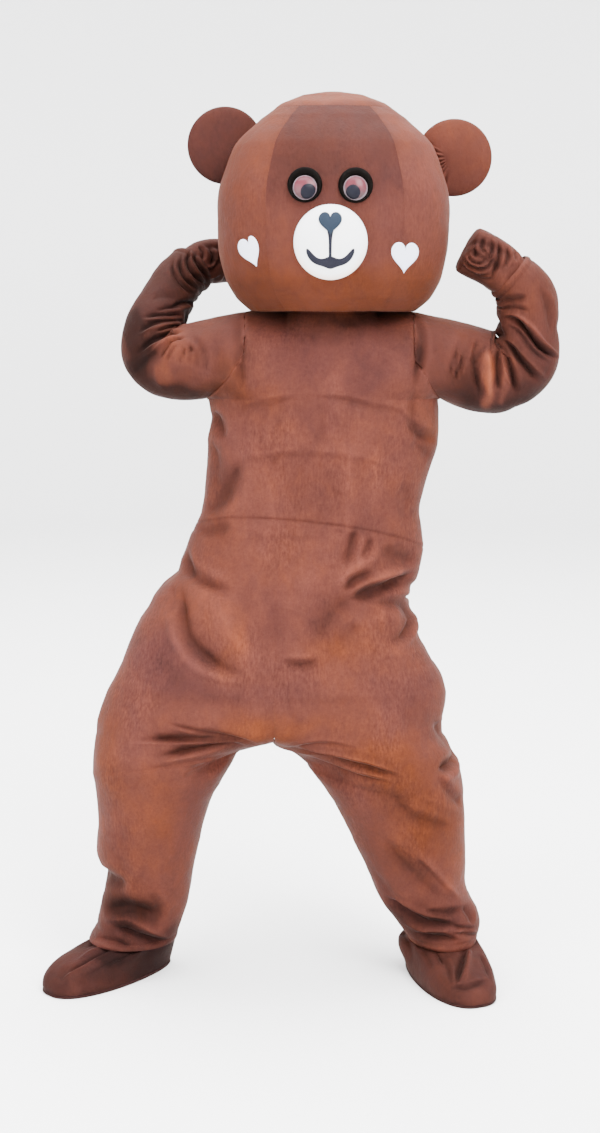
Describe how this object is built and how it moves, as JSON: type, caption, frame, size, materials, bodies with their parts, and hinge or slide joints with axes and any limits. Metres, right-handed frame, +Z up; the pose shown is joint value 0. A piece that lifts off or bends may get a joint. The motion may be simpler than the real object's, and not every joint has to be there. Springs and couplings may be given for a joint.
{
  "type": "bear mascot costume",
  "caption": "Plush bear mascot costume in its worn pose: hollow suit with sleeves and trousers, foam head with round ears, closed mitts and foot covers.",
  "frame": {"origin": "base of the neck on the shoulder line, where the wearer's shoulders carry the costume", "axes": "+Z up, front faces -Y, +X to the viewer's right when seen from the front"},
  "size_m": [1.0181, 0.4437, 1.7595],
  "materials": {
    "head_plush": "short-pile plush",
    "ear_plush": "short-pile plush",
    "white_plush": "short-pile plush",
    "heart_felt": "felt",
    "nose_felt": "felt",
    "mouth_felt": "felt",
    "eye_rim": "gloss",
    "iris": "gloss",
    "pupil": "gloss",
    "suit_plush": "short-pile plush",
    "sleeve_plush": "short-pile plush",
    "sole_cloth": "woven cloth"
  },
  "bodies": {
    "root": {"head_face": "head_plush", "head_side_left": "head_plush", "head_side_right": "head_plush", "head_back": "head_plush", "head_crown": "head_plush", "head_base": "head_plush", "ear_left_front": "ear_plush", "ear_left_back": "ear_plush", "ear_right_front": "ear_plush", "ear_right_back": "ear_plush", "muzzle": "white_plush", "cheek_heart_left": "heart_felt", "cheek_heart_right": "heart_felt", "nose": "nose_felt", "mouth": "mouth_felt", "philtrum": "mouth_felt", "eye_rim_left": "eye_rim", "eye_rim_right": "eye_rim", "eye_iris_left": "iris", "eye_iris_right": "iris", "eye_pupil_left": "pupil", "eye_pupil_right": "pupil", "bodice_front": "suit_plush", "bodice_back_left": "suit_plush", "bodice_back_right": "suit_plush", "back_placket": "suit_plush", "trouser_front_left": "suit_plush", "trouser_back_left": "suit_plush", "trouser_front_right": "suit_plush", "trouser_back_right": "suit_plush", "sleeve_left": "sleeve_plush", "sleeve_right": "sleeve_plush", "mitt_left": "sleeve_plush", "mitt_right": "sleeve_plush", "foot_left_upper": "sleeve_plush", "foot_right_upper": "sleeve_plush", "foot_left_sole": "sole_cloth", "foot_right_sole": "sole_cloth"}
  },
  "joints": []
}
